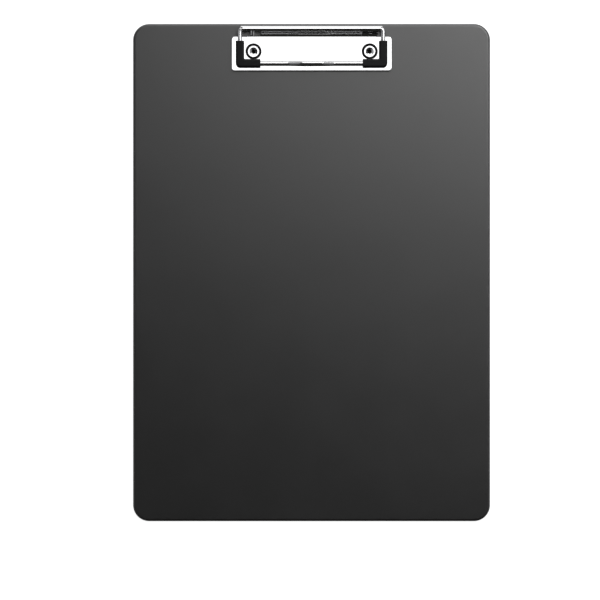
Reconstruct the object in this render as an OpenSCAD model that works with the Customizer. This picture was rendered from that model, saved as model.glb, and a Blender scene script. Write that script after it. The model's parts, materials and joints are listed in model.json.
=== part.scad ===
// Clipboard with a low-profile wire clip.
// The board lies flat on its back: X runs across it, +Y runs towards the clip's end,
// and +Z leaves its writing face. The origin is the middle of the board's back.

/* [Board] */
// Width of the board
board_w = 222.5; // [200:0.5:260]
// Length of the board
board_l = 310; // [280:1:360]
// Thickness of the board
board_t = 3; // [2.5:0.1:4]
// Radius of the board's four corners, seen from above
board_corner_r = 10; // [6:0.5:20]
// Radius of the rounding round the board's edge
board_edge_r = 1.3; // [0.5:0.1:1.4]

/* [Clip base plate] */
// Width of the pressed plate
plate_w = 100; // [96:1:110]
// Distance from the board's end to the plate's front edge
plate_reach = 29.5; // [28:0.5:34]
// Height of the flat panel's top above the board
plate_h = 1.8; // [1.6:0.1:2.4]
// Thickness of the plate's steel sheet
sheet_t = 0.8; // [0.6:0.1:1]
// Radius of the plate's corners, seen from above
plate_corner_r = 2; // [1:0.5:4]
// Length of the barrel that the wire turns in
barrel_l = 88; // [84:1:90]
// Distance from the board's end to the barrel's axis
barrel_inset = 3.3; // [3:0.1:5]
// Height of the barrel's axis above the flat panel
barrel_rise = 2.6; // [2.5:0.1:3]

/* [Rivets] */
// Distance between the two rivets
rivet_spacing = 72.4; // [66:0.2:76]
// Distance from the barrel's axis to the rivets
rivet_back = 14; // [13:0.5:16]
// Outer diameter of a rivet's tube
rivet_tube_d = 4.6; // [4:0.1:5]
// Diameter of a rivet's rolled rim
rivet_rim_d = 7.4; // [7:0.1:8]
// Diameter of the round dimple that holds the rim
dimple_d = 9.8; // [9:0.1:11]

/* [Bail wire] */
// Diameter of the spring wire
wire_d = 2.8; // [2.4:0.1:3]
// Distance between the centres of the two legs
leg_spacing = 89.2; // [88:0.2:92]
// Distance from the barrel's axis to the wire's front run
bail_reach = 21.5; // [20:0.5:24]
// Width of the finger bump's flat top
bump_flat = 12.8; // [8:0.2:16]
// Width across the whole finger bump
bump_w = 27.6; // [24:0.2:32]
// Height of the finger bump
bump_h = 3.2; // [2:0.1:4]

/* [Corner sleeves] */
// Width of a sleeve's square section
sleeve_w = 5.2; // [4.6:0.1:6]
// Thickness of a sleeve, from the panel upwards
sleeve_t = 5; // [4.4:0.1:5]
// Rounding of the section's edges
sleeve_round = 1.1; // [0.6:0.1:1.5]
// Outer corner radius of a sleeve, seen from above
sleeve_corner_r = 2.75; // [1:0.25:4]
// Length of a sleeve along the bail's leg
sleeve_leg_l = 16.6; // [12:0.2:17]
// Length of a sleeve along the front run
sleeve_run_l = 15.4; // [12:0.2:20]

/* [Hidden] */
$fn = 48;

// Small distances
eps = 0.01;
running_fit = 0.08;
rivet_fit = 0.1;

// Board and barrel
wire_r = wire_d / 2;
panel_top = board_t + plate_h;
panel_under = panel_top - sheet_t;
axis_y = board_l / 2 - barrel_inset;
axis_z = panel_top + barrel_rise;
barrel_ri = wire_r + running_fit;
barrel_ro = barrel_ri + sheet_t;
barrel_gap_angle = 30;

// The ramp is a quarter arc, tangent to the panel below and to the barrel's front
ramp_r = barrel_rise;
ramp_y = axis_y - barrel_ro - ramp_r;
plate_back_y = ramp_y + 0.2;
plate_front_y = board_l / 2 - plate_reach;
rivet_y = axis_y - rivet_back;

// Ends of the hood, where the wire bends out of the barrel. Only a lip behind the axis
// reaches the barrel's full length: in front the wire needs the room to swing up.
bend_r = 1.9;
leg_x = leg_spacing / 2;
bend_x = leg_x - bend_r;
front_end_x = bend_x + 0.15;
rear_lip_y = 0.9;
ramp_end_x = 40.4;
ramp_trim_y = 0.8;
tall = 12;

// Window for the spring's hook, near the barrel's left end
window_out_x = 41.6;
window_in_x = 32;
window_half_angle = 73;
window_front_y = 0.6;
hook_x = 36.8;
hook_tip_l = 2.4;
hook_drop_angle = 20;
stub_end_x = 39.9;

// The bail's front run
run_y = axis_y - bail_reach;
run_bend_r = 3;
bump_slope_w = (bump_w - bump_flat) / 2;
bump_angle = atan(bump_h / bump_slope_w);
bump_bend_r = 4;
bump_tangent = bump_bend_r * tan(bump_angle / 2);
bump_slope_l = bump_slope_w / cos(bump_angle) - 2 * bump_tangent;
run_start_x = bump_w / 2 + bump_tangent;

// The slopes' bars are a hair thinner than their bends and reach a little into them
slope_slim = 0.01;
slope_lap = 0.05;

// The torsion leg starts just inside the barrel's right end
torsion_start_x = bend_x - 0.8;
torsion_gap = 0.05;

// Rivet section
rivet_bore_r = rivet_tube_d / 2 - 0.55;
rivet_head_r = 4.5;
rivet_head_t = 1;
rivet_floor_z = 1.4;
rivet_crest_r = 2.95;
rivet_crest_z = panel_top - 0.05;
rivet_flare_r = rivet_crest_r - rivet_bore_r;
rivet_roll_r = rivet_rim_d / 2 - rivet_crest_r;
dimple_z = board_t + sheet_t;
rivet_hole_r = rivet_tube_d / 2 + rivet_fit;

// ---------- helpers ----------

// Rectangle with round corners, centred on the origin
module round_rect(w, l, r) {
    square([w - 2 * r, l], center = true);
    square([w, l - 2 * r], center = true);
    for (sx = [-1, 1], sy = [-1, 1])
        translate([sx * (w / 2 - r), sy * (l / 2 - r)]) circle(r);
}

// Round bar of the wire, from the origin along +X
module wire_bar(length, r = wire_r) {
    rotate([0, 90, 0]) cylinder(r = r, h = length);
}

// Bend of the wire in the XY plane: it starts at the origin along +X and turns left
module wire_bend(radius, angle) {
    translate([0, radius, 0])
        rotate([0, 0, -90])
            rotate_extrude(angle = angle) translate([radius, 0]) circle(wire_r);
}

// Frame whose X axis lies on the barrel's axis, with local Y and Z as in the model
module at_barrel() {
    translate([0, axis_y, axis_z]) children();
}

// A section drawn in the YZ plane, extruded along X between two values
module along_x(x_from, x_to) {
    translate([x_from, 0, 0])
        rotate([90, 0, 90]) linear_extrude(height = x_to - x_from) children();
}

// Pie slice between two angles, used to cut arcs
module slice(angle_from, angle_to, reach) {
    step = (angle_to - angle_from) / 6;
    polygon(concat(
        [[0, 0]],
        [for (k = [0:6]) reach * [cos(angle_from + k * step), sin(angle_from + k * step)]]
    ));
}

// ---------- board ----------

module board_corner() {
    r_flat = board_corner_r - board_edge_r;
    for (z = [board_edge_r, board_t - board_edge_r])
        translate([0, 0, z])
            rotate_extrude($fn = 64)
                intersection() {
                    translate([r_flat, 0]) circle(board_edge_r, $fn = 24);
                    translate([0, -board_t]) square(2 * board_corner_r);
                }
}

module board() {
    color([0.24, 0.24, 0.25])
        difference() {
            hull()
                for (sx = [-1, 1], sy = [-1, 1])
                    translate([
                        sx * (board_w / 2 - board_corner_r),
                        sy * (board_l / 2 - board_corner_r),
                        0
                    ]) board_corner();
            for (sx = [-1, 1])
                translate([sx * rivet_spacing / 2, rivet_y, -eps]) {
                    cylinder(r = rivet_hole_r, h = board_t + 1);
                    cylinder(r = rivet_head_r + rivet_fit, h = rivet_head_t + 5 * eps);
                }
        }
}

// ---------- clip base plate ----------

// Flat panel with its edges turned down onto the board, and two dimples
module plate_pan() {
    l = plate_back_y - plate_front_y;
    mid_y = (plate_back_y + plate_front_y) / 2;
    difference() {
        union() {
            difference() {
                translate([0, mid_y, board_t])
                    linear_extrude(height = plate_h) round_rect(plate_w, l, plate_corner_r);
                translate([0, mid_y, board_t - 1])
                    linear_extrude(height = plate_h - sheet_t + 1)
                        round_rect(plate_w - 2 * sheet_t, l - 2 * sheet_t, plate_corner_r - sheet_t);
                translate([-ramp_end_x, plate_back_y - 2 * sheet_t, board_t - 1])
                    cube([2 * ramp_end_x, 3 * sheet_t, plate_h - sheet_t + 1]);
            }
            for (sx = [-1, 1])
                translate([sx * rivet_spacing / 2, rivet_y, board_t])
                    cylinder(d = dimple_d + 2 * sheet_t, h = plate_h - sheet_t / 2);
        }
        for (sx = [-1, 1])
            translate([sx * rivet_spacing / 2, rivet_y, 0]) {
                translate([0, 0, dimple_z]) cylinder(d = dimple_d, h = plate_h);
                cylinder(r = rivet_hole_r, h = tall);
            }
    }
}

// Section of the ramp: a quarter arc of sheet, up from the panel to the barrel's front
module ramp_section() {
    translate([ramp_y, panel_top + ramp_r])
        intersection() {
            difference() {
                circle(ramp_r + sheet_t, $fn = 96);
                circle(ramp_r, $fn = 96);
            }
            translate([0, -2 * ramp_r]) square(2 * ramp_r);
        }
}

// Section of the rolled barrel, open by a small seam low on its front
module barrel_section() {
    translate([axis_y, axis_z])
        difference() {
            circle(barrel_ro, $fn = 96);
            circle(barrel_ri, $fn = 96);
            slice(180, 180 + barrel_gap_angle, 2 * barrel_ro);
        }
}

// The ramp's ends slant inwards, and the barrel's front stops short of its rear lip
module hood_end_cut() {
    translate([front_end_x, ramp_y - 1, board_t])
        cube([barrel_l, axis_y + rear_lip_y - ramp_y + 1, tall]);
    translate([0, 0, board_t])
        linear_extrude(height = tall)
            polygon([
                [front_end_x + 1, axis_y - ramp_trim_y],
                [front_end_x, axis_y - ramp_trim_y],
                [ramp_end_x, ramp_y - eps],
                [front_end_x + 1, ramp_y - eps]
            ]);
}

module hood() {
    half = barrel_l / 2;
    difference() {
        union() {
            along_x(-half, half) barrel_section();
            along_x(-half, half) ramp_section();
        }
        hood_end_cut();
        mirror([1, 0, 0]) hood_end_cut();
    }
}

// The window opens the ramp and the barrel's front wall, on both sides of the hook's line.
// The ramp is cut away from there to its left end, so that only a ring of barrel is left.
module window_cut() {
    hook_angle = 180 + hook_drop_angle;
    window_y = ramp_y + window_front_y;
    along_x(-window_out_x, -window_in_x)
        intersection() {
            translate([axis_y, axis_z])
                slice(hook_angle - window_half_angle, hook_angle + window_half_angle, tall);
            translate([window_y, board_t + eps]) square(tall);
        }
    along_x(-barrel_l / 2, -window_out_x + eps)
        difference() {
            translate([window_y, board_t + eps])
                square([axis_y - window_y, axis_z - board_t - eps]);
            translate([axis_y, axis_z]) circle(barrel_ro, $fn = 96);
        }
}

module clip_base_plate() {
    color([0.92, 0.93, 0.95])
        difference() {
            union() {
                plate_pan();
                hood();
            }
            window_cut();
        }
}

// ---------- rivets ----------

module rivet_section() {
    square([rivet_head_r, rivet_head_t]);
    square([rivet_tube_d / 2, rivet_floor_z]);
    translate([rivet_bore_r, 0])
        square([rivet_tube_d / 2 - rivet_bore_r, rivet_crest_z - rivet_flare_r]);
    // Flare: a quarter disc that turns outwards from the bore to the rim's crest
    intersection() {
        translate([rivet_crest_r, rivet_crest_z - rivet_flare_r]) circle(rivet_flare_r);
        translate([rivet_bore_r, rivet_crest_z - rivet_flare_r]) square(rivet_flare_r);
        union() {
            translate([0, dimple_z]) square(2 * rivet_crest_r);
            square([rivet_tube_d / 2, 2 * panel_top]);
        }
    }
    // Rolled outer half of the rim, which bears on the dimple's floor
    intersection() {
        translate([rivet_crest_r, rivet_crest_z - rivet_roll_r]) circle(rivet_roll_r);
        translate([rivet_crest_r, dimple_z]) square(2 * rivet_roll_r);
    }
}

module rivet(side) {
    translate([side * rivet_spacing / 2, rivet_y, 0])
        rotate_extrude() rivet_section();
}

module rivet_left() {
    color([0.9, 0.9, 0.92]) rivet(-1);
}

module rivet_right() {
    color([0.9, 0.9, 0.92]) rivet(1);
}

// ---------- wire ----------

// Half of the finger bump, from its middle to where the straight front run starts
module bump_half() {
    flat_half = bump_flat / 2 - bump_tangent;
    translate([0, 0, bump_h]) {
        wire_bar(flat_half);
        translate([flat_half, 0, 0]) rotate([-90, 0, 0]) wire_bend(bump_bend_r, bump_angle);
        translate([bump_flat / 2, 0, 0])
            rotate([0, bump_angle, 0])
                translate([bump_tangent - slope_lap, 0, 0])
                    wire_bar(bump_slope_l + 2 * slope_lap, wire_r - slope_slim);
    }
    translate([run_start_x, 0, 0])
        rotate([90, 0, 180]) wire_bend(bump_bend_r, bump_angle);
}

// Half of the bail: front run, corner, leg, and the bend that enters the barrel
module bail_half() {
    translate([0, run_y, axis_z]) {
        bump_half();
        translate([run_start_x, 0, 0]) wire_bar(leg_x - run_bend_r - run_start_x);
        translate([leg_x - run_bend_r, 0, 0]) wire_bend(run_bend_r, 90);
    }
    translate([leg_x, run_y + run_bend_r, axis_z])
        rotate([0, 0, 90]) wire_bar(bail_reach - run_bend_r - bend_r);
    translate([leg_x, axis_y - bend_r, axis_z])
        rotate([0, 0, 90]) wire_bend(bend_r, 90);
}

module bail_wire() {
    color([0.8, 0.8, 0.82])
        union() {
            bail_half();
            mirror([1, 0, 0]) bail_half();
            at_barrel() translate([-bend_x, 0, 0]) wire_bar(bend_x - stub_end_x);
            at_barrel() translate([torsion_start_x, 0, 0]) wire_bar(bend_x - torsion_start_x);
        }
}

// The same wire's long straight end inside the barrel, with the hook that anchors it
module torsion_leg() {
    hook_start_x = -(hook_x - bend_r);
    color([0.72, 0.72, 0.75])
        at_barrel()
            rotate([hook_drop_angle, 0, 0])
                union() {
                    translate([hook_start_x, 0, 0])
                        wire_bar(torsion_start_x - torsion_gap - hook_start_x);
                    translate([hook_start_x, 0, 0])
                        rotate([0, 0, 180]) wire_bend(bend_r, 90);
                    translate([-hook_x, -bend_r, 0])
                        rotate([0, 0, -90]) wire_bar(hook_tip_l);
                }
}

// ---------- corner sleeves ----------

// Bar of the sleeve's rounded square section, from the origin along +X
module sleeve_bar(length) {
    rotate([90, 0, 90])
        linear_extrude(height = length) round_rect(sleeve_w, sleeve_t, sleeve_round);
}

// The wire's path through a right-hand sleeve
module sleeve_channel() {
    translate([leg_x - run_bend_r - sleeve_run_l, 0, 0]) wire_bar(sleeve_run_l);
    translate([leg_x - run_bend_r, 0, 0]) wire_bend(run_bend_r, 90);
    translate([leg_x, run_bend_r, 0]) rotate([0, 0, 90]) wire_bar(sleeve_leg_l);
}

// Right-hand sleeve: an L whose outer corner is rounded off
module sleeve_right() {
    outer_x = leg_x + sleeve_w / 2;
    outer_y = -sleeve_w / 2;
    translate([0, run_y, axis_z])
        difference() {
            intersection() {
                union() {
                    translate([outer_x - sleeve_run_l, 0, 0]) sleeve_bar(sleeve_run_l);
                    translate([leg_x, outer_y, 0])
                        rotate([0, 0, 90]) sleeve_bar(sleeve_leg_l);
                }
                translate([0, 0, -sleeve_t])
                    linear_extrude(height = 2 * sleeve_t)
                        union() {
                            translate([0, outer_y])
                                square([outer_x - sleeve_corner_r, 2 * sleeve_leg_l]);
                            translate([0, outer_y + sleeve_corner_r])
                                square([outer_x, 2 * sleeve_leg_l]);
                            translate([outer_x - sleeve_corner_r, outer_y + sleeve_corner_r])
                                circle(sleeve_corner_r);
                        }
            }
            sleeve_channel();
        }
}

module corner_sleeve_left() {
    color([0.07, 0.07, 0.08]) mirror([1, 0, 0]) sleeve_right();
}

module corner_sleeve_right() {
    color([0.07, 0.07, 0.08]) sleeve_right();
}

board();
clip_base_plate();
rivet_left();
rivet_right();
torsion_leg();
bail_wire();
corner_sleeve_left();
corner_sleeve_right();
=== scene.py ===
"""A clipboard with a low-profile wire clip, laid out as a Blender add-on and run as a script.

Everything is in metres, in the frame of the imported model: the board lies on its back, +Y runs
towards the clip and +Z leaves the writing face.
"""

import json
import math

import bpy
import numpy as np
from bpy.props import FloatProperty, FloatVectorProperty, PointerProperty
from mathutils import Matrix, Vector


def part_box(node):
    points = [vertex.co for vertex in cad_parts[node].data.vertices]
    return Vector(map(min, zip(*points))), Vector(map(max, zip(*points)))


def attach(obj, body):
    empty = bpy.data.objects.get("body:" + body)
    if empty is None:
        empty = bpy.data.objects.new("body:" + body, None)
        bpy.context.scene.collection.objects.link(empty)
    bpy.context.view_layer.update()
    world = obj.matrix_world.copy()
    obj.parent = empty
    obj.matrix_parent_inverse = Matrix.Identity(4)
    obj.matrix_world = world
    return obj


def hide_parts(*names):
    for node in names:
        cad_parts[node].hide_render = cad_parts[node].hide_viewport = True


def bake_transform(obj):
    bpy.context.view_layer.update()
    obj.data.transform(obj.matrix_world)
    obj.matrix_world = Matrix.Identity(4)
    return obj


bl_info = {
    "name": "Wire-clip clipboard",
    "version": (1, 0, 0),
    "blender": (4, 5, 0),
    "location": "3D View > Sidebar > Clipboard",
    "description": "Builds a clipboard with a low-profile wire clip, and a plain studio round it",
    "category": "Add Mesh",
}

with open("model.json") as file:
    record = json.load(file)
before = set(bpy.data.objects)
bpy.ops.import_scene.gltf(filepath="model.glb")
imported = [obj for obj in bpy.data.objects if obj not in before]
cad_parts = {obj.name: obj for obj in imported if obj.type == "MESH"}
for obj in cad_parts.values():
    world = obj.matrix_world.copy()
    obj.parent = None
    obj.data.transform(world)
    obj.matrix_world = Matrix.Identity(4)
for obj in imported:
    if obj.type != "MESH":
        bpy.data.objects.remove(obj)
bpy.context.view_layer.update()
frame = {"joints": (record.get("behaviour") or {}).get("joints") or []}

# ---------- places and sizes read from the frame ----------

MM = 0.001
FRAME_BODY, BAIL_BODY = "clipboard", "bail"

board_low, board_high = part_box("board")
plate_low, plate_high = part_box("clip_base_plate")
wire_low, wire_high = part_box("bail_wire")
_, torsion_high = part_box("torsion_leg")
sleeve_low, sleeve_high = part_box("corner_sleeve_right")
rivet_low, rivet_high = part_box("rivet_right")
hinge = Vector(frame["joints"][0]["pos_m"])

BOARD_TOP = board_high.z
WIRE_R = hinge.z - wire_low.z
WIRE_NOSE = 0.25 * MM
BARREL_R = plate_high.z - hinge.z
LEG_X = wire_high.x - WIRE_R
RUN_Y = wire_low.y + WIRE_R
BUMP_H = wire_high.z - WIRE_R - hinge.z
SLEEVE_W = 2 * (RUN_Y - sleeve_low.y)
RIVET_X = (rivet_low.x + rivet_high.x) / 2
RIVET_Y = (rivet_low.y + rivet_high.y) / 2


# ---------- sizes and colours that a user may change ----------


class BoardSettings(bpy.types.PropertyGroup):
    """The writing board"""

    corner: FloatProperty(
        name="Corner radius",
        description="Radius of the board's four corners, seen from above",
        default=0.010, min=0.004, unit="LENGTH")
    edge: FloatProperty(
        name="Edge radius",
        description="Rounding round the board's edge",
        default=0.0013, max=0.0014, unit="LENGTH")
    colour: FloatVectorProperty(
        name="Colour",
        description="Base colour of the board's plastic",
        default=(0.0036, 0.0036, 0.0038), subtype="COLOR", min=0, max=1)
    gloss: FloatProperty(
        name="Roughness",
        description="Roughness of the satin face",
        default=0.345, subtype="FACTOR", min=0, max=1)
    grain: FloatProperty(
        name="Grain size",
        description="Distance between the pips of the moulded grain",
        default=0.00024, unit="LENGTH", precision=5)


class PlateSettings(bpy.types.PropertyGroup):
    """The chromed base plate and its barrel"""

    height: FloatProperty(
        name="Panel height",
        description="Height of the flat panel above the board",
        default=0.0018, unit="LENGTH")
    sheet: FloatProperty(
        name="Sheet",
        description="Thickness of the steel sheet",
        default=0.0008, unit="LENGTH")
    corner: FloatProperty(
        name="Corner radius",
        description="Radius of the panel's corners, seen from above",
        default=0.002, unit="LENGTH")
    fold: FloatProperty(
        name="Fold radius",
        description="Radius of the fold along the panel's turned-down edges",
        default=0.0004, unit="LENGTH")
    dimple: FloatProperty(
        name="Dimple",
        description="Diameter of the dimple round a rivet",
        default=0.0100, unit="LENGTH")
    colour: FloatVectorProperty(
        name="Chrome",
        description="Colour of the chrome plating",
        default=(0.60, 0.603, 0.608), subtype="COLOR", min=0, max=1)


class WireSettings(bpy.types.PropertyGroup):
    """The bail's spring wire"""

    bend: FloatProperty(
        name="Barrel bend",
        description="Bend radius where the wire comes out of the barrel",
        default=0.0019, unit="LENGTH")
    hook: FloatProperty(
        name="Hook bend",
        description="Bend radius of the torsion leg's hook",
        default=0.0019, unit="LENGTH")
    corner: FloatProperty(
        name="Corner bend",
        description="Bend radius inside the corner sleeves",
        default=0.003, unit="LENGTH")
    bump_flat: FloatProperty(
        name="Bump's flat",
        description="Length of the flat top of the finger bump",
        default=0.0128, unit="LENGTH")
    bump_width: FloatProperty(
        name="Bump's width",
        description="Width across the whole finger bump",
        default=0.0276, unit="LENGTH")
    colour: FloatVectorProperty(
        name="Wire",
        description="Colour of the wire's bright plating",
        default=(0.58, 0.58, 0.585), subtype="COLOR", min=0, max=1)


class SleeveSettings(bpy.types.PropertyGroup):
    """The rubber corner sleeves"""

    edge: FloatProperty(
        name="Edge rounding",
        description="Rounding of the sleeve's long edges",
        default=0.0011, unit="LENGTH")
    corner: FloatProperty(
        name="Outer corner",
        description="Radius of the sleeve's outer corner, seen from above",
        default=0.00275, unit="LENGTH")
    colour: FloatVectorProperty(
        name="Rubber",
        description="Colour of the rubber",
        default=(0.005, 0.005, 0.0053), subtype="COLOR", min=0, max=1)


class StudioSettings(bpy.types.PropertyGroup):
    """Floor, lights and camera"""

    camera_height: FloatProperty(
        name="Camera height",
        description="Height of the camera above the writing face",
        default=2.4, unit="LENGTH")
    frame_width: FloatProperty(
        name="Frame width",
        description="Width of the picture, measured on the writing face",
        default=0.374, unit="LENGTH")
    camera_shift: FloatVectorProperty(
        name="Camera place",
        description="Where the camera stands over the board, from the board's middle",
        default=(-0.0072, -0.0171), size=2, unit="LENGTH")
    key: FloatProperty(
        name="Key light",
        description="Radiance of the large soft light above the clip",
        default=2.5, min=0)
    corner: FloatProperty(
        name="Corner light",
        description="Radiance of the soft light above the board's top right-hand corner",
        default=5.6, min=0)
    wall: FloatProperty(
        name="Back light",
        description="Radiance of the upright soft light behind the clip's end",
        default=1.8, min=0)
    room: FloatVectorProperty(
        name="Room",
        description="Colour and strength of the dim room in front of the clip",
        default=(0.024, 0.024, 0.022), subtype="COLOR", min=0)
    sides: FloatVectorProperty(
        name="Sides",
        description="Colour and strength of the soft light from the left and the right",
        default=(0.65, 0.65, 0.67), subtype="COLOR", min=0)
    floor: FloatProperty(
        name="Floor glow",
        description="Glow of the pale floor, as a cut-out background has",
        default=0.95, min=0)


# ---------- shader maths ----------


class Value:
    """A number socket of a shader tree. Arithmetic on it adds the Math nodes that do the sum."""

    def __init__(self, tree, socket):
        self.tree, self.socket = tree, socket

    def _math(self, operation, first, *others, clamp=False):
        node = self.tree.nodes.new("ShaderNodeMath")
        node.operation, node.use_clamp = operation, clamp
        for slot, item in zip(node.inputs, (first, *others)):
            plug(self.tree, slot, item)
        return Value(self.tree, node.outputs[0])

    def __add__(self, other):
        return self._math("ADD", self, other)

    __radd__ = __add__

    def __sub__(self, other):
        return self._math("SUBTRACT", self, other)

    def __rsub__(self, other):
        return self._math("SUBTRACT", other, self)

    def __mul__(self, other):
        return self._math("MULTIPLY", self, other)

    __rmul__ = __mul__

    def __pow__(self, other):
        return self._math("POWER", self, other)

    def __abs__(self):
        return self._math("ABSOLUTE", self)

    def at_least(self, other):
        return self._math("MAXIMUM", self, other)

    def clamped(self):
        return self._math("ADD", self, 0.0, clamp=True)

    def step(self, low, high):
        """0 below low, 1 above high, and an even slope in between."""
        return ((self - low) * (1.0 / (high - low))).clamped()


def plug(tree, slot, item):
    """Links a Value or a socket to a node's input, or sets a number, vector or colour there."""
    if isinstance(item, Value):
        item = item.socket
    if isinstance(item, bpy.types.NodeSocket):
        tree.links.new(item, slot)
    elif slot.type == "RGBA" and len(item) == 3:
        slot.default_value = (*item, 1.0)
    else:
        slot.default_value = item


class Nodes:
    """A shader tree, and the ways to add nodes to it."""

    def __init__(self, tree):
        self.tree = tree

    def node(self, kind, out=0, settings=None, **inputs):
        """Adds a node of that kind, applies its settings, feeds its inputs and gives an output."""
        node = self.tree.nodes.new("ShaderNode" + kind)
        for key, item in (settings or {}).items():
            setattr(node, key, item)
        for key, item in inputs.items():
            plug(self.tree, node.inputs[key.replace("_", " ")], item)
        return node.outputs[out]

    def value(self, kind, out=0, settings=None, **inputs):
        return Value(self.tree, self.node(kind, out, settings, **inputs))

    def axes(self, vector):
        split = self.tree.nodes.new("ShaderNodeSeparateXYZ")
        self.tree.links.new(vector, split.inputs[0])
        return [Value(self.tree, out) for out in split.outputs]

    def stretched(self, vector, sizes, turn=0.0):
        """The vector turned about Z by an angle, then counted in those sizes along X, Y and Z."""
        return self.node("Mapping", 0, {"vector_type": "TEXTURE"}, Vector=vector, Scale=sizes,
                         Rotation=(0.0, 0.0, turn))

    def noise(self, vector, size, detail=2.0, rough=0.5):
        """Noise from 0 to 1 whose lumps are about size metres across."""
        return self.value("TexNoise", 0, None, Vector=vector, Scale=1.0 / size,
                          Detail=detail, Roughness=rough)

    def pips(self, vector, size):
        """Distance from the middle of each of many small cells, in cell sizes."""
        return self.value("TexVoronoi", "Distance", {"feature": "F1"}, Vector=vector,
                          Scale=1.0 / size)

    def scratches(self, vector, width, length, turn, share):
        """Thin straight marks: noise stretched along one direction, of which the top is kept."""
        along = self.stretched(vector, (length, width, width), turn)
        field = self.value("TexNoise", 0, None, Vector=along, Scale=1.0, Detail=1.0,
                           Roughness=0.4)
        fade = 0.05
        return field.step(1.0 - share, 1.0 - share + fade)

    def mix(self, factor, first, second):
        """A colour between first, at factor 0, and second, at factor 1."""
        node = self.tree.nodes.new("ShaderNodeMix")
        node.data_type = "RGBA"
        colours = [s for s in node.inputs if s.type == "RGBA"]
        plug(self.tree, node.inputs[0], factor)
        plug(self.tree, colours[0], first)
        plug(self.tree, colours[1], second)
        return next(s for s in node.outputs if s.type == "RGBA")


class Finish(Nodes):
    """One material under construction: a Principled shader and the nodes that feed it."""

    def __init__(self, name):
        self.material = bpy.data.materials.new(name)
        self.material.use_nodes = True
        super().__init__(self.material.node_tree)
        self.tree.nodes.clear()
        self.shader = self.tree.nodes.new("ShaderNodeBsdfPrincipled")
        output = self.tree.nodes.new("ShaderNodeOutputMaterial")
        self.tree.links.new(self.shader.outputs[0], output.inputs["Surface"])

    def here(self):
        """The piece's own Object coordinates, in metres."""
        return self.node("TexCoord", "Object")

    def bump(self, height, depth):
        """Feeds Normal from a height from 0 to 1 that stands for depth metres."""
        self.set(Normal=self.node("Bump", 0, None, Height=height, Strength=1.0, Distance=depth))

    def set(self, **inputs):
        for key, item in inputs.items():
            plug(self.tree, self.shader.inputs[key.replace("_", " ")], item)


def shade(colour, factor):
    """A colour made lighter or darker, as plain numbers."""
    return tuple(min(1.0, c * factor) for c in colour)


def slab_depth(finish, vector, centre, half, corner):
    """How far a point lies inside a slab's round-cornered outline, in metres.

    The distance is that to a rectangle shrunk by the corner radius, taken off that radius."""
    x, y, _ = finish.axes(vector)
    dx = (abs(x - centre[0]) - (half[0] - corner)).at_least(0.0)
    dy = (abs(y - centre[1]) - (half[1] - corner)).at_least(0.0)
    return corner - (dx * dx + dy * dy) ** 0.5


def board_finish(settings):
    """Satin moulded plastic: a fine pebble grain, faint clouding, rub marks and worn edges."""
    f = Finish("board_plastic")
    here = f.here()
    colour = tuple(settings.colour)
    half = (board_high.x - board_low.x) / 2, (board_high.y - board_low.y) / 2
    inside = slab_depth(f, here, (0.0, 0.0), half, settings.corner)
    cloud_size, speck_size, patch_size, pore_size = 0.045, 0.0007, 0.009, 0.00012
    wear_from, wear_to, grain_depth = 0.0002, 0.0016, 0.000011
    clouds = f.noise(here, cloud_size, 3.0, 0.6)
    specks = f.noise(here, speck_size, 2.0, 0.6)
    marks = f.scratches(here, 0.00035, 0.035, 0.5, 0.30) * 0.5
    marks = marks + f.scratches(here, 0.0003, 0.028, 2.1, 0.29) * 0.5
    worn_patch = f.noise(here, patch_size, 3.0, 0.65)
    worn = (1.0 - inside.step(wear_from, wear_to)) * worn_patch.step(0.42, 0.68)
    tone = f.mix(clouds, shade(colour, 0.86), shade(colour, 1.16))
    tone = f.mix(specks.step(0.60, 0.75) * 0.5, tone, shade(colour, 1.9))
    tone = f.mix((marks * 0.35).clamped(), tone, shade(colour, 2.2))
    tone = f.mix(worn * 0.55, tone, shade(colour, 3.2))
    rough = settings.gloss + (clouds - 0.5) * 0.05 + (specks - 0.5) * 0.10
    rough = rough + worn * 0.06 - marks * 0.04
    grain = f.pips(here, settings.grain) * 0.7 + f.noise(here, pore_size, 2.0, 0.5) * 0.5
    f.set(Base_Color=tone, Roughness=rough.clamped(), Metallic=0.0, Specular_IOR_Level=1.0)
    f.bump(grain - marks * 0.25, grain_depth)
    return f.material


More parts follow.
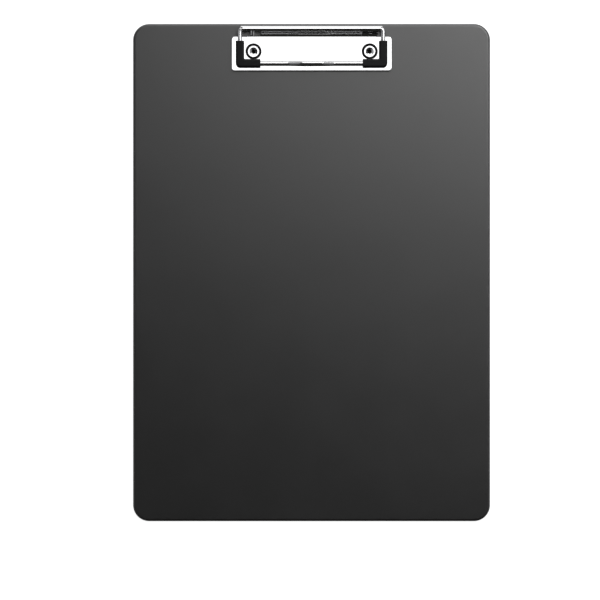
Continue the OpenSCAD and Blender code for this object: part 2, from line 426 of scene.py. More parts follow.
def chrome_finish(name, colour, crevices):
    """Bright chrome plating: a slight orange peel, wipe marks, pin-prick pits and a duller haze.

    Each rivet's dimple is painted near-black, fading out at the dimple's rim: painted shade
    standing in for the dark reflection in its wall."""
    f = Finish(name)
    here = f.here()
    x, y, _ = f.axes(here)
    away = ((abs(x) - crevices[0]) ** 2.0 + (y - crevices[1]) ** 2.0) ** 0.5
    # Painted shade: the dimple round each rivet is painted near-black out to its rim, in place of
    # its wall's dark reflection.
    dark_ring_from, dark_ring_to, ragged, painted_shade_colour = 0.00475, 0.00505, 0.0003, (0.012, 0.011, 0.010)
    peel_size, haze_size, fine_size, pit_spacing = 0.0045, 0.011, 0.00035, 0.0028
    peel_depth = 0.0000007
    edge = away + (f.noise(here, 0.0006, 2.0, 0.6) - 0.5) * ragged
    dirt_and_painted_shade = 1.0 - edge.step(dark_ring_from, dark_ring_to)
    peel = f.noise(here, peel_size, 2.0, 0.5)
    haze = f.noise(here, haze_size, 3.0, 0.6)
    fine = f.noise(here, fine_size, 2.0, 0.6)
    wipes = f.scratches(here, 0.00012, 0.016, 0.25, 0.33) * 0.6
    wipes = wipes + f.scratches(here, 0.00010, 0.012, 1.35, 0.31) * 0.4
    pits = f.pips(here, pit_spacing).step(0.0, 0.05)
    spoiled = (1.0 - pits) * fine.step(0.45, 0.60)
    tone = f.mix(haze.step(0.35, 0.75), colour, shade(colour, 0.955))
    tone = f.mix(spoiled * 0.6, tone, shade(colour, 0.55))
    tone = f.mix(dirt_and_painted_shade * 0.97, tone, painted_shade_colour)
    rough = 0.05 + haze.step(0.45, 0.80) * 0.04 + wipes * 0.04 + spoiled * 0.2 + dirt_and_painted_shade * 0.4
    f.set(Base_Color=tone, Roughness=rough.clamped(), Metallic=1.0)
    f.bump(peel + wipes * 0.05 - spoiled * 0.2, peel_depth)
    return f.material


def wire_finish(name, colour):
    """Drawn and plated spring wire: long draw lines, a light haze and small nicks.

    The pattern is read from straight_place, which is where each point lay on the wire before it
    was bent, with its third number along the wire."""
    f = Finish(name)
    line_width, line_length, line_depth = 0.00019, 0.011, 0.0000025
    haze_size, nick_size = 0.006, 0.0006
    straight = f.node("Attribute", "Vector", {"attribute_name": "straight_place"})
    lines = f.value("TexNoise", 0, None, Scale=1.0, Detail=2.0, Roughness=0.6,
                    Vector=f.stretched(straight, (line_width, line_width, line_length)))
    haze = f.noise(straight, haze_size, 2.0, 0.6)
    nicks = f.noise(straight, nick_size, 2.0, 0.6).step(0.70, 0.78)
    tone = f.mix(haze, shade(colour, 1.04), shade(colour, 0.93))
    tone = f.mix(nicks * 0.5, tone, shade(colour, 0.6))
    rough = 0.19 + (lines - 0.5).at_least(0.0) * 0.16 + haze * 0.06 + nicks * 0.2
    f.set(Base_Color=tone, Roughness=rough.clamped(), Metallic=1.0)
    f.bump(lines * 0.5 - nicks * 0.5, line_depth)
    return f.material


def rivet_finish(name, colour, centre):
    """Nickelled steel, rolled over by a spinning tool, so its marks run in rings.

    Everything lower than the rim is painted near-black as shade, the bore as well as the head. A
    random haze of real dirt darkens the nickel in patches."""
    f = Finish(name)
    here = f.here()
    x, y, height = f.axes(here)
    painted_shade_full, painted_shade_gone, ragged, painted_shade_colour = 0.0024, 0.0036, 0.0006, (0.005, 0.005, 0.004)
    rings_per_metre, haze_size, mark_depth = 9000.0, 0.0016, 0.0000045
    radius = ((x - centre[0]) ** 2.0 + (y - centre[1]) ** 2.0) ** 0.5
    # Painted shade: below the rim the bore, and the flush head under the board too, are painted
    # near-black.
    level = height + f.noise(here, 0.0008, 2.0, 0.6) * ragged
    painted_low_shade = 1.0 - level.step(painted_shade_full, painted_shade_gone)
    rings = f.value("TexNoise", 0, {"noise_dimensions": "1D"}, W=radius * rings_per_metre,
                    Scale=1.0, Detail=2.0, Roughness=0.6)
    haze = f.noise(here, haze_size, 3.0, 0.6)
    # Real dirt: a random haze darkens the nickel in patches.
    dirt_and_painted_shade = haze.step(0.55, 0.80)
    tone = f.mix(painted_low_shade, f.mix(dirt_and_painted_shade, colour, shade(colour, 0.80)), painted_shade_colour)
    rough = 0.08 + rings.step(0.45, 0.75) * 0.07 + dirt_and_painted_shade * 0.10 + painted_low_shade * 0.3
    f.set(Base_Color=tone, Roughness=rough.clamped(), Metallic=1.0)
    f.bump(rings * 0.5 + haze * 0.3, mark_depth)
    return f.material


def rubber_finish(settings):
    """Black moulded rubber: a fine matt skin, polished patches, dust and a parting line."""
    f = Finish("sleeve_rubber")
    here = f.here()
    colour, dust_colour = tuple(settings.colour), (0.09, 0.088, 0.084)
    skin_size, cell_size, patch_size, dust_size = 0.00022, 0.00045, 0.0035, 0.0004
    seam_half, seam_end, skin_depth = 0.00004, 0.00012, 0.000020
    skin = f.noise(here, skin_size, 3.0, 0.6)
    cells = f.pips(here, cell_size)
    patches = f.noise(here, patch_size, 2.0, 0.6)
    dust = f.noise(here, dust_size, 1.0, 0.5).step(0.68, 0.74)
    _, _, height = f.axes(here)
    seam = 1.0 - abs(height - (sleeve_low.z + sleeve_high.z) / 2).step(seam_half, seam_end)
    tone = f.mix(patches, shade(colour, 0.8), shade(colour, 1.5))
    tone = f.mix(dust * 0.15, tone, dust_colour)
    rough = 0.34 + patches.step(0.35, 0.75) * 0.14 + (skin - 0.5) * 0.10 + dust * 0.2
    f.set(Base_Color=tone, Roughness=rough.clamped(), Metallic=0.0, Specular_IOR_Level=0.10)
    f.bump(skin * 0.6 + cells * 0.4 + seam * 3.0, skin_depth)
    return f.material


# ---------- surfaces ----------


def grid_faces(rows, columns, closed=False, flip=False, keep=None):
    """Quads of a grid of rows by columns, as indices.

    closed joins the last column to the first, flip turns the faces over, and keep is an optional
    mask of the quads that stay."""
    row = np.arange(rows - 1)[:, None]
    column = np.arange(columns if closed else columns - 1)[None, :]
    here, above, after = row * columns, (row + 1) * columns, (column + 1) % columns
    quads = np.stack(np.broadcast_arrays(here + column, here + after, above + after,
                                         above + column), -1)
    quads = quads.reshape(-1, 4) if keep is None else quads[keep]
    return quads[:, ::-1] if flip else quads


class Shell:
    """Points and faces of a piece, gathered patch by patch and joined where patches meet."""

    def __init__(self):
        self.patches, self.faces, self.count = [], [], 0

    def add(self, points, faces=()):
        """Adds a patch, whose faces count its own points, and gives its first point's place."""
        points, first = np.asarray(points, float).reshape(-1, 3), self.count
        self.patches.append(points)
        self.count += len(points)
        self.faces += [first + np.asarray(face) for face in faces]
        return first

    def joined(self):
        """The points without doubles or strays, and the faces that use them."""
        points = np.round(np.concatenate(self.patches), 8)
        used = np.unique(np.concatenate(self.faces))
        kept, index = np.unique(points[used], axis=0, return_inverse=True)
        place = np.zeros(len(points), int)
        place[used] = index.ravel()
        return kept, [place[face] for face in self.faces]


def add_piece(name, points, faces, material, body, slot, replaced, sharp=None, attribute=None,
              modifiers=()):
    """Makes a mesh piece from its points and faces, shades it smooth, and puts it on its body."""
    mesh = bpy.data.meshes.new(name)
    mesh.from_pydata(np.asarray(points).tolist(), [],
                     [np.asarray(face).tolist() for face in faces])
    mesh.polygons.foreach_set("use_smooth", np.ones(len(mesh.polygons), bool))
    if sharp is not None:
        mesh.set_sharp_from_angle(angle=math.radians(sharp))
    if attribute is not None:
        place = mesh.attributes.new("straight_place", "FLOAT_VECTOR", "POINT")
        place.data.foreach_set("vector", np.asarray(attribute, np.float32).ravel())
    mesh.materials.append(material)
    mesh.update()
    piece = bpy.data.objects.new(name, mesh)
    bpy.context.scene.collection.objects.link(piece)
    for kind, facts in modifiers:
        modifier = piece.modifiers.new(kind.title(), kind)
        for key, item in facts.items():
            setattr(modifier, key, item)
    if body is not None:
        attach(piece, body)
    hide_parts(*replaced)
    return piece


def outline(corners, radii, arc_points=12):
    """A closed outline whose corners are rounded by arcs, with its outward normals.

    Each corner is cut back along both sides by radius times the tangent of half the turn, and an
    arc joins the two cuts. Corners run anticlockwise, and a corner may turn either way."""
    corners, points, normals = np.asarray(corners, float), [], []
    before, after = np.roll(corners, 1, 0), np.roll(corners, -1, 0)
    for p, a, b, radius in zip(corners, before, after, radii):
        into, away = (p - a) / np.linalg.norm(p - a), (b - p) / np.linalg.norm(b - p)
        turn = math.atan2(into[0] * away[1] - into[1] * away[0], into @ away)
        side = math.copysign(1.0, turn)
        left = np.array([-into[1], into[0]])
        centre = p - into * radius * math.tan(abs(turn) / 2) + side * radius * left
        angle = math.atan2(-into[0], into[1]) + turn * np.linspace(0, 1, arc_points)
        out = np.stack([np.cos(angle), np.sin(angle)], -1)
        points.append(centre + side * radius * out)
        normals.append(out)
    return np.concatenate(points), np.concatenate(normals)


def moulded(base, normals, profile):
    """Rings of an outline drawn in by each profile point's first number, at its second one's
    height."""
    inset, height = np.asarray(profile).T
    flat = base[None] - inset[:, None, None] * normals[None]
    level = np.broadcast_to(height[:, None, None], (*flat.shape[:2], 1))
    return np.concatenate([flat, level], -1)


def round_over(low, high, edge, support, steps=8):
    """A profile of insets and heights for a slab's side, with both edges rounded.

    The insets are edge * (1 - sin t) at heights edge * (1 - cos t) from each face, and a last ring
    on each face, drawn in further, keeps the face's shading flat."""
    t = np.radians(np.linspace(0, 90, steps))
    inset, rise = edge * (1 - np.sin(t)), edge * (1 - np.cos(t))
    return np.concatenate([[(edge + support, low)], np.stack([inset, low + rise], -1),
                           np.stack([inset, high - rise], -1)[::-1], [(edge + support, high)]])


def circle_rings(centre, profile, count):
    """Rings of a hole round centre, clockwise from its left-hand side, from radii and heights."""
    a = np.radians(np.linspace(180, -180, count, endpoint=False))
    radius, height = np.asarray(profile).T
    return np.stack(np.broadcast_arrays(centre[0] + radius[:, None] * np.cos(a),
                                        centre[1] + radius[:, None] * np.sin(a),
                                        height[:, None]), -1)


def panel_round_holes(ring, right, left, holes, count):
    """Two flat faces that fill an outline round two holes, split along the line through the holes.

    ring is the outline's indices, anticlockwise, with the places of its right and left ends, and
    holes are the first indices of the left and the right hole's outermost ring."""
    half = count // 2
    top = [[hole + k for k in range(half + 1)] for hole in holes]
    bottom = [[hole + (half + k) % count for k in range(half + 1)] for hole in holes]
    return [ring[right:left + 1] + top[0] + top[1],
            ring[left:] + ring[:right + 1] + bottom[1] + bottom[0]]


def bent_path(corners, radii, step):
    """Points along straight runs joined by arcs, no more than step apart.

    Each corner is cut back by its radius times the tangent of half its turn, and the arc's points
    are centre + radius * (sin t * forward - cos t * inward) for t from 0 to the turn."""
    corners = [np.asarray(c, float) for c in corners]
    stretches, last, arc_step = [], corners[0], 7
    for a, p, b, radius in zip(corners, corners[1:], corners[2:], radii):
        into, away = (p - a) / np.linalg.norm(p - a), (b - p) / np.linalg.norm(b - p)
        turn = math.acos(float(np.clip(into @ away, -1, 1)))
        cut = radius * math.tan(turn / 2)
        start = p - into * cut
        inward = away - into * (into @ away)
        inward /= np.linalg.norm(inward)
        centre = start + inward * radius
        pieces = max(1, math.ceil(np.linalg.norm(start - last) / step))
        share = np.linspace(0, 1, pieces, endpoint=False)[:, None]
        stretches.append(last + (start - last) * share)
        arcs = max(5, math.ceil(math.degrees(turn) / arc_step))
        t = np.linspace(0, turn, arcs, endpoint=False)[:, None]
        stretches.append(centre + radius * (np.sin(t) * into - np.cos(t) * inward))
        last = p + away * cut
    pieces = max(1, math.ceil(np.linalg.norm(corners[-1] - last) / step))
    stretches.append(last + (corners[-1] - last) * np.linspace(0, 1, pieces + 1)[:, None])
    return np.concatenate(stretches)


def wire_surface(path, radius, nose, sides=40):
    """A round wire along a path: points, faces and each point's place on the straightened wire.

    Ring k is path(k) + radius * (cos a * across + sin a * up), where up is as near to +Z as the
    wire's direction allows. Both ends close in over nose, as a cropped and tumbled end does."""
    step = np.diff(path, axis=0)
    step /= np.linalg.norm(step, axis=1)[:, None]
    along = np.concatenate([step[:1], step[:-1] + step[1:], step[-1:]])
    along /= np.linalg.norm(along, axis=1)[:, None]
    near = 0.3
    easing = np.array([0.0, near, 1.0])[:, None] * nose
    path = np.concatenate([path[0] + easing * along[0], path[1:-1],
                           path[-1] - easing[::-1] * along[-1]])
    along = np.concatenate([along[:1].repeat(3, 0), along[1:-1], along[-1:].repeat(3, 0)])
    size = np.full(len(path), radius)
    size[[0, -1]], size[[1, -2]] = radius - nose, radius - near * nose
    across = np.cross(along, (0.0, 0.0, 1.0))
    across /= np.linalg.norm(across, axis=1)[:, None]
    up = np.cross(across, along)
    a = np.linspace(0, 2 * math.pi, sides, endpoint=False)
    ring = np.cos(a)[None, :, None] * across[:, None] + np.sin(a)[None, :, None] * up[:, None]
    points = path[:, None] + size[:, None, None] * ring
    length = np.concatenate([[0.0], np.cumsum(np.linalg.norm(np.diff(path, axis=0), axis=1))])
    place = np.stack(np.broadcast_arrays(
        size[:, None] * np.cos(a), size[:, None] * np.sin(a), length[:, None]), -1)
    rows = len(path)
    faces = [*grid_faces(rows, sides, closed=True, flip=True), np.arange(sides),
             (rows - 1) * sides + np.arange(sides)[::-1]]
    return points.reshape(-1, 3), faces, place.reshape(-1, 3)


# ---------- pieces ----------


def make_board(settings):
    """The slab: its outline carries a round edge, and two stepped holes take the rivets.

    Each face is two flat halves that meet along the line through the holes."""
    half_w, half_l, arc_points, count = board_high.x, board_high.y, 20, 48
    edge_ring, hole_ring = 0.6 * MM, 0.5 * MM
    corners = [(half_w, -half_l), (half_w, half_l), (-half_w, half_l), (-half_w, -half_l)]
    base, normals = outline(corners, [settings.corner] * 4, arc_points)
    rings = moulded(base, normals, round_over(0.0, BOARD_TOP, settings.edge, edge_ring))
    rows, columns = rings.shape[:2]
    shell = Shell()
    shell.add(rings, grid_faces(rows, columns, closed=True))
    pocket_r, pocket_z, shank_r, lip = 4.6 * MM, 1.05 * MM, 2.4 * MM, 0.1 * MM
    stepped = [(pocket_r + hole_ring, 0.0), (pocket_r + lip, 0.0), (pocket_r, lip),
               (pocket_r, pocket_z), (shank_r, pocket_z), (shank_r, BOARD_TOP),
               (shank_r + hole_ring, BOARD_TOP)]
    holes = [shell.add(circle_rings((side * RIVET_X, RIVET_Y), stepped, count),
                       grid_faces(len(stepped), count, closed=True)) for side in (-1, 1)]
    ends = arc_points, 3 * arc_points - 1
    under = panel_round_holes(list(range(columns)), *ends, holes, count)
    top_ring = [(rows - 1) * columns + k for k in range(columns)]
    top_holes = [hole + (len(stepped) - 1) * count for hole in holes]
    over = panel_round_holes(top_ring, *ends, top_holes, count)
    shell.faces += [np.array(face[::-1]) for face in under] + [np.array(face) for face in over]
    return add_piece("board_slab", *shell.joined(), board_finish(settings), FRAME_BODY, "board",
                     ["board"], sharp=40)


def make_plate(settings):
    """The pressing, as one sheet: panel, dimples, turned-down edges, and the ramp and barrel.

    The outline carries the fold's profile down to the board, except along the back between the
    hood's ends. There a grid goes on from the panel: up a hollow quarter arc of the ramp's radius
    about (foot, hinge height), then round the hinge's axis at the barrel's radius."""
    top, fold, half_w = BOARD_TOP + settings.height, settings.fold, plate_high.x
    ramp_r = hinge.z - top
    foot_y = hinge.y - BARREL_R - ramp_r
    back_y, front_y = foot_y + 0.2 * MM, plate_low.y
    foot_x, lip_x, notch_x, ring_x = 40.4 * MM, 44.0 * MM, 32.0 * MM, 41.6 * MM
    trim_x, trim_y, slit = 42.85 * MM, hinge.y - 0.8 * MM, 0.35 * MM
    notch_rise, rear_lip, fold_ring = 0.6 * MM, 0.9 * MM, 0.25 * MM
    front_a, window_a, window_end_a, seam_a = 180, 127, -87, -138
    arc_points, count, foot_count = 14, 72, 36

    # The hood's columns at its foot, from its right-hand end to its left-hand end
    straight = np.linspace(foot_x, -notch_x, foot_count)
    foot_columns = np.concatenate([straight, [-(notch_x + foot_x) / 2, -foot_x]])

    # Panel and turned-down edges
    corners = [(half_w, front_y), (half_w, back_y), (-half_w, back_y), (-half_w, front_y)]
    base, normals = outline(corners, [settings.corner] * 4, arc_points)
    back = np.concatenate([[foot_x + slit], foot_columns, [-foot_x - slit]])
    back = np.stack([back, np.full(len(back), back_y)], -1)
    where = 2 * arc_points
    base = np.concatenate([base[:where], back, base[where:]])
    backwards = np.tile((0.0, 1.0), (len(back), 1))
    normals = np.concatenate([normals[:where], backwards, normals[where:]])
    t = np.radians(np.linspace(0, 90, 9))
    bend = np.stack([fold * (1 - np.sin(t)), top - fold * (1 - np.cos(t))], -1)
    profile = np.concatenate([[(fold + fold_ring, top)], bend, [(0.0, BOARD_TOP)]])
    rings = moulded(base, normals, profile)
    rows, columns = rings.shape[:2]
    keep = np.ones((rows - 1, columns), bool)
    keep[1:, where:where + len(back) - 1] = False
    shell = Shell()
    shell.add(rings, grid_faces(rows, columns, closed=True, flip=True, keep=keep))
    floor_z, wall_r, rim_r, shank_r = 3.8 * MM, 3.8 * MM, settings.dimple / 2, 2.4 * MM
    rim_ring, rim_bend, floor_bend, ring_step = 0.4 * MM, 0.22 * MM, 0.3 * MM, 0.6 * MM
    dimple = bent_path([(rim_r + rim_ring, top), (rim_r, top), (wall_r, floor_z),
                        (shank_r, floor_z)], [rim_bend, floor_bend], ring_step)
    holes = [shell.add(circle_rings((side * RIVET_X, RIVET_Y), dimple, count),
                       grid_faces(len(dimple), count, closed=True, flip=True)) for side in (-1, 1)]
    shell.faces += [np.array(face) for face in panel_round_holes(
        list(range(columns)), arc_points - 1, columns - arc_points, holes, count)]

    # Ramp and barrel: rows of (Y, Z), each with the angle that it stands at on its own arc
    notch_a = math.degrees(math.asin(notch_rise / ramp_r))
    climb = np.concatenate([np.linspace(0, notch_a, 5), np.linspace(notch_a, 90, 19)[1:]])
    lip_a = math.degrees(math.acos(rear_lip / BARREL_R))
    keys = front_a, window_a, lip_a, -lip_a, window_end_a, seam_a
    parts = 12, 13, 28, 6, 11
    roll = np.concatenate([np.linspace(a, b, n)[1:] for a, b, n in zip(keys, keys[1:], parts)])
    ramp = np.stack([foot_y + ramp_r * np.sin(np.radians(climb)),
                     hinge.z - ramp_r * np.cos(np.radians(climb))], -1)
    barrel = np.stack([hinge.y + BARREL_R * np.cos(np.radians(roll)),
                       hinge.z + BARREL_R * np.sin(np.radians(roll))], -1)
    line = np.concatenate([[(back_y - fold, top)], ramp, barrel])
    turns = len(ramp)
    reach = np.interp(line[:, 0], [foot_y, trim_y], [foot_x, trim_x])[:, None]
    share = np.linspace(0, 1, len(straight))[None]
    middle = np.where(np.arange(len(line))[:, None] < turns, -(notch_x + reach) / 2, -ring_x)
    lip = np.full_like(reach, lip_x)
    x = np.concatenate([lip, reach + (-notch_x - reach) * share, middle, -reach, -lip], 1)
    hood = np.stack(np.broadcast_arrays(x, line[:, :1], line[:, 1:]), -1)
    rows, columns = hood.shape[:2]
    angle = np.concatenate([[0], climb, roll])
    between = (angle[:-1] + angle[1:]) / 2
    row = np.arange(rows - 1)
    keep = np.ones((rows - 1, columns - 1), bool)
    rear = (row > turns) & (abs(between) < lip_a)
    open_ramp = (row > 0) & (row < turns) & (between > notch_a)
    in_window = (between > window_a) | (between < window_end_a)
    open_roll = (row == turns) | (row > turns) & in_window
    keep[:, 0] = keep[:, -1] = rear
    keep[:, -3] = ~(open_ramp | open_roll)
    keep[:, -2] = ~open_ramp
    shell.add(hood, grid_faces(rows, columns, flip=True, keep=keep))
    finish = chrome_finish("plate_chrome", tuple(settings.colour), (RIVET_X, RIVET_Y))
    wall = {"thickness": settings.sheet, "offset": -1.0, "use_even_offset": True,
            "use_quality_normals": True}
    soften = {"width": 0.09 * MM, "segments": 2, "limit_method": "ANGLE",
              "angle_limit": math.radians(50), "harden_normals": True}
    return add_piece("clip_plate", *shell.joined(), finish, FRAME_BODY, "plate",
                     ["clip_base_plate"], modifiers=[("SOLIDIFY", wall), ("BEVEL", soften)])


def make_bail(settings):
    """The spring wire: two stubs in the barrel, two legs, and a front run with a finger bump.

    Its centre line is straight runs joined by arcs, and the wire's circle is carried along it."""
    z, reach, flat, foot = hinge.z, 39.9 * MM, settings.bump_flat / 2, settings.bump_width / 2
    gap = 0.05 * MM
    corners = [(-reach, hinge.y, z), (-LEG_X, hinge.y, z), (-LEG_X, RUN_Y, z), (-foot, RUN_Y, z),
               (-flat, RUN_Y, z + BUMP_H), (flat, RUN_Y, z + BUMP_H), (foot, RUN_Y, z),
               (LEG_X, RUN_Y, z), (LEG_X, hinge.y, z), (torsion_high.x + gap, hinge.y, z)]
    bend, corner, bump, step = settings.bend, settings.corner, 4.0 * MM, 1.2 * MM
    radii = [bend, corner, bump, bump, bump, bump, corner, bend]
    points, faces, place = wire_surface(bent_path(corners, radii, step), WIRE_R, WIRE_NOSE)
    return add_piece("bail_spring_wire", points, faces,
                     wire_finish("wire_plating", tuple(settings.colour)), BAIL_BODY, "wire",
                     ["bail_wire"], sharp=40, attribute=place)


def make_torsion_leg(settings):
    """The same wire's long end, which runs through the barrel and hooks down in the notch.

    It twists along its length when the bail opens; here it is put on neither body, and its place
    is baked into its points."""
    hook_x, drop, step = -36.8 * MM, math.radians(20), 0.8 * MM
    tip = settings.hook + 2.4 * MM
    corners = [(torsion_high.x, hinge.y, hinge.z), (hook_x, hinge.y, hinge.z),
               (hook_x, hinge.y - tip * math.cos(drop), hinge.z - tip * math.sin(drop))]
    path = bent_path(corners, [settings.hook], step)
    points, faces, place = wire_surface(path, WIRE_R, WIRE_NOSE)
    piece = add_piece("torsion_spring_leg", points, faces,
                      wire_finish("torsion_plating", tuple(settings.colour)), None, "wire",
                      ["torsion_leg"], sharp=40, attribute=place)
    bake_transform(piece)
    return piece


def make_sleeve(settings, side):
    """A corner sleeve: an L outline whose long sides carry a round edge.

    Rings are drawn in by the rounding along the long sides, and by a quarter of it at the ends,
    which stay nearly square, as a moulding's ends do."""
    z_low, z_high = sleeve_low.z, sleeve_high.z
    x0, x1, y0, y1 = sleeve_low.x, sleeve_high.x, sleeve_low.y, sleeve_high.y
    inner_x, inner_y, arc_points, steps = x1 - SLEEVE_W, y0 + SLEEVE_W, 10, 9
    end, inner, ease, face_ring = 0.35 * MM, 0.7 * MM, 0.25, 0.25 * MM
    corners = [(x0, y0), (x1, y0), (x1, y1), (inner_x, y1), (inner_x, inner_y), (x0, inner_y)]
    radii = [end, settings.corner, end, end, inner, end]
    base, inward = outline(corners, radii, arc_points)
    ends = {0: (-ease, -1), 2: (1, ease), 3: (-1, ease), 5: (-ease, 1)}
    for corner, direction in ends.items():
        inward[corner * arc_points:(corner + 1) * arc_points] = direction
    if side < 0:
        base, inward = (base * (-1, 1))[::-1], (inward * (-1, 1))[::-1]
    profile = round_over(z_low, z_high, settings.edge, face_ring, steps)
    rings = moulded(base, inward, profile)
    rows, columns = rings.shape[:2]
    faces = [*grid_faces(rows, columns, closed=True), np.arange(columns)[::-1],
             (rows - 1) * columns + np.arange(columns)]
    name = "right" if side > 0 else "left"
    return add_piece("sleeve_" + name, rings.reshape(-1, 3), faces, rubber_finish(settings),
                     BAIL_BODY, "sleeve", ["corner_sleeve_" + name], sharp=35)


def make_rivet(settings, side):
    """A tubular rivet turned about its own axis: flush head below, rolled rim and funnel above."""
    crest, middle = rivet_high.z / MM, 0.5
    head_r, head_t, tube_r, bore_r, bore_z = 4.5, 1.0, 2.3, 1.25, 1.4
    rim_r, rim_z, shoulder_z, crest_r, funnel_r, funnel_z = 3.7, 3.8, 4.5, 3.5, 2.45, 4.0
    corners = [(middle, 0.0), (head_r, 0.0), (head_r, head_t), (tube_r, head_t),
               (tube_r, rim_z), (rim_r, rim_z), (rim_r, shoulder_z), (crest_r, crest),
               (funnel_r, crest), (bore_r, funnel_z), (bore_r, bore_z), (middle, bore_z)]
    radii = [0.25, 0.08, 0.05, 0.05, 0.15, 0.15, 0.2, 0.3, 0.3, 0.08]
    line = bent_path(np.array(corners) * MM, np.array(radii) * MM, 0.5 * MM)
    sides, darker = 72, 0.95
    a = np.linspace(0, 2 * math.pi, sides, endpoint=False)
    centre = side * RIVET_X, RIVET_Y
    points = np.stack(np.broadcast_arrays(centre[0] + line[:, :1] * np.cos(a),
                                          centre[1] + line[:, :1] * np.sin(a), line[:, 1:]), -1)
    rows = len(line)
    faces = [*grid_faces(rows, sides, closed=True), np.arange(sides)[::-1],
             (rows - 1) * sides + np.arange(sides)]
    name = "right" if side > 0 else "left"
    finish = rivet_finish("rivet_nickel_" + name, shade(tuple(settings.colour), darker), centre)
    return add_piece("tube_rivet_" + name, points.reshape(-1, 3), faces, finish, FRAME_BODY,
                     "rivet", ["rivet_" + name], sharp=40)


# ---------- studio ----------


def soft_light(name, place, turn, size, radiance):
    """A flat soft light of that radiance. Its power is radiance times pi times its area."""
    lamp = bpy.data.lights.new(name, "AREA")
    lamp.shape, lamp.size, lamp.size_y = "RECTANGLE", size[0], size[1]
    lamp.energy = radiance * math.pi * size[0] * size[1]
    light = bpy.data.objects.new(name, lamp)
    light.location, light.rotation_euler = place, [math.radians(angle) for angle in turn]
    light.visible_camera = False
    bpy.context.scene.collection.objects.link(light)
    return light


def make_studio(settings):
    """A pale floor, a dim room, soft lights at the clip's end, and the camera overhead."""
    scene = bpy.context.scene
    scene.view_settings.view_transform = "Standard"
    half, drop = 4.0, -0.0003
    mesh = bpy.data.meshes.new("floor")
    mesh.from_pydata([(-half, -half, drop), (half, -half, drop), (half, half, drop),
                      (-half, half, drop)], [], [(0, 1, 2, 3)])
    f = Finish("floor_paper")
    shadow, light, white, unlit = (0.29, 0.29, 0.30), (0.32, 0.32, 0.33), (1.0,) * 3, (0.0,) * 3
    mottle = f.noise(f.here(), 0.25, 2.0, 0.5)
    direct = f.value("LightPath", "Is Camera Ray")
    f.set(Base_Color=f.mix(mottle, shadow, light), Roughness=0.9,
          Emission_Color=f.mix(direct, unlit, white), Emission_Strength=settings.floor,
          Specular_IOR_Level=0.2)
    mesh.materials.append(f.material)
    floor = bpy.data.objects.new("floor", mesh)
    scene.collection.objects.link(floor)

    world = bpy.data.worlds.new("studio")
    world.use_nodes = True
    room = Nodes(world.node_tree)
    sideways, _, upwards = room.axes(room.node("TexCoord", "Generated"))
    side_from, side_to, horizon_from, horizon_to = 0.40, 1.0, -0.05, 0.10
    open_side = abs(sideways).step(side_from, side_to) * upwards.step(horizon_from, horizon_to)
    shown = room.mix(open_side, settings.room, settings.sides)
    shown = room.mix(room.value("LightPath", "Is Camera Ray"), shown, white)
    plug(room.tree, world.node_tree.nodes["Background"].inputs["Color"], shown)
    scene.world = world

    # Two lamps side by side overhead, and one upright behind them
    lamp_y, lamp_z, lamp_depth, down, forwards = 0.635, 1.12, 0.97, (0, 0, 0), (-90, 0, 0)
    top_x, top_width, corner_x, corner_width = 0.08, 0.42, 0.55, 0.52
    back_place, back_size = (0.1, 1.125, 0.61), (2.2, 1.02)
    soft_light("key_top", (top_x, lamp_y, lamp_z), down, (top_width, lamp_depth), settings.key)
    soft_light("key_corner", (corner_x, lamp_y, lamp_z), down, (corner_width, lamp_depth),
               settings.corner)
    soft_light("key_back", back_place, forwards, back_size, settings.wall)

    lens = bpy.data.cameras.new("camera")
    lens.lens = lens.sensor_width * settings.camera_height / settings.frame_width
    camera = bpy.data.objects.new("camera", lens)
    camera.location = (*settings.camera_shift, BOARD_TOP + settings.camera_height)
    scene.collection.objects.link(camera)
    scene.camera = camera


# ---------- operators, panel and registration ----------


class BuildStudio(bpy.types.Operator):
    """Adds the floor, the lights and the camera"""

    bl_idname, bl_label = "clipboard.studio", "Studio"

    def execute(self, context):
        make_studio(context.scene.clipboard_studio)
        return {"FINISHED"}


class BuildBoard(bpy.types.Operator):
    """Builds the writing board"""

    bl_idname, bl_label = "clipboard.board", "Board"

    def execute(self, context):
        make_board(context.scene.clipboard_board)
        return {"FINISHED"}


class BuildPlate(bpy.types.Operator):
    """Builds the clip's base plate with its barrel"""

    bl_idname, bl_label = "clipboard.plate", "Base plate"

    def execute(self, context):
        make_plate(context.scene.clipboard_plate)
        return {"FINISHED"}


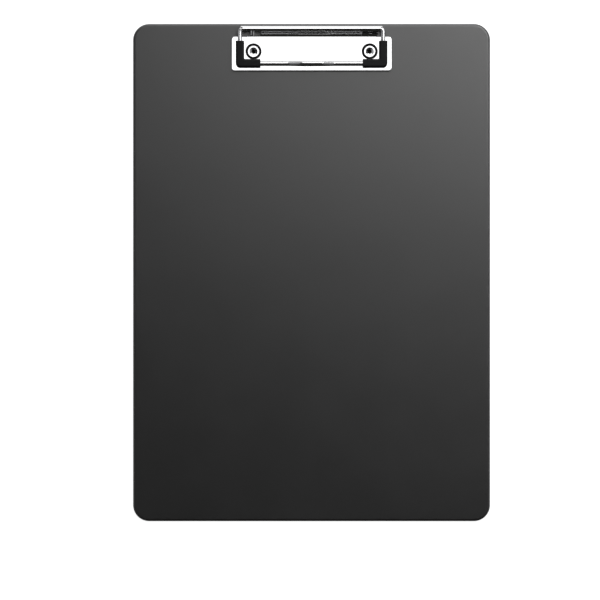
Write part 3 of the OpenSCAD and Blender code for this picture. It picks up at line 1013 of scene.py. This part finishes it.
class BuildRivets(bpy.types.Operator):
    """Builds the two tubular rivets"""

    bl_idname, bl_label = "clipboard.rivets", "Rivets"

    def execute(self, context):
        for side in (-1, 1):
            make_rivet(context.scene.clipboard_plate, side)
        return {"FINISHED"}


class BuildWires(bpy.types.Operator):
    """Builds the bail's spring wire and its torsion leg"""

    bl_idname, bl_label = "clipboard.wires", "Spring wire"

    def execute(self, context):
        make_bail(context.scene.clipboard_wire)
        make_torsion_leg(context.scene.clipboard_wire)
        return {"FINISHED"}


class BuildSleeves(bpy.types.Operator):
    """Builds the two rubber corner sleeves"""

    bl_idname, bl_label = "clipboard.sleeves", "Corner sleeves"

    def execute(self, context):
        for side in (-1, 1):
            make_sleeve(context.scene.clipboard_sleeve, side)
        return {"FINISHED"}


SETTINGS = {"clipboard_board": BoardSettings, "clipboard_plate": PlateSettings,
            "clipboard_wire": WireSettings, "clipboard_sleeve": SleeveSettings,
            "clipboard_studio": StudioSettings}
OPERATORS = (BuildStudio, BuildBoard, BuildPlate, BuildRivets, BuildWires, BuildSleeves)


class ClipboardPanel(bpy.types.Panel):
    """Lists the builders, and the sizes and colours that they use"""

    bl_idname, bl_label = "VIEW3D_PT_clipboard", "Clipboard"
    bl_space_type, bl_region_type, bl_category = "VIEW_3D", "UI", "Clipboard"

    def draw(self, context):
        for name, group in SETTINGS.items():
            box = self.layout.box()
            for field in group.__annotations__:
                box.prop(getattr(context.scene, name), field)
        for operator in OPERATORS:
            self.layout.operator(operator.bl_idname)


CLASSES = (*SETTINGS.values(), *OPERATORS, ClipboardPanel)


def register():
    for entry in CLASSES:
        bpy.utils.register_class(entry)
    for name, group in SETTINGS.items():
        setattr(bpy.types.Scene, name, PointerProperty(type=group))


def unregister():
    for name in SETTINGS:
        delattr(bpy.types.Scene, name)
    for entry in reversed(CLASSES):
        bpy.utils.unregister_class(entry)


def main():
    register()
    bpy.ops.clipboard.studio()
    bpy.ops.clipboard.board()
    bpy.ops.clipboard.plate()
    bpy.ops.clipboard.rivets()
    bpy.ops.clipboard.wires()
    bpy.ops.clipboard.sleeves()


if __name__ == "__main__":
    main()
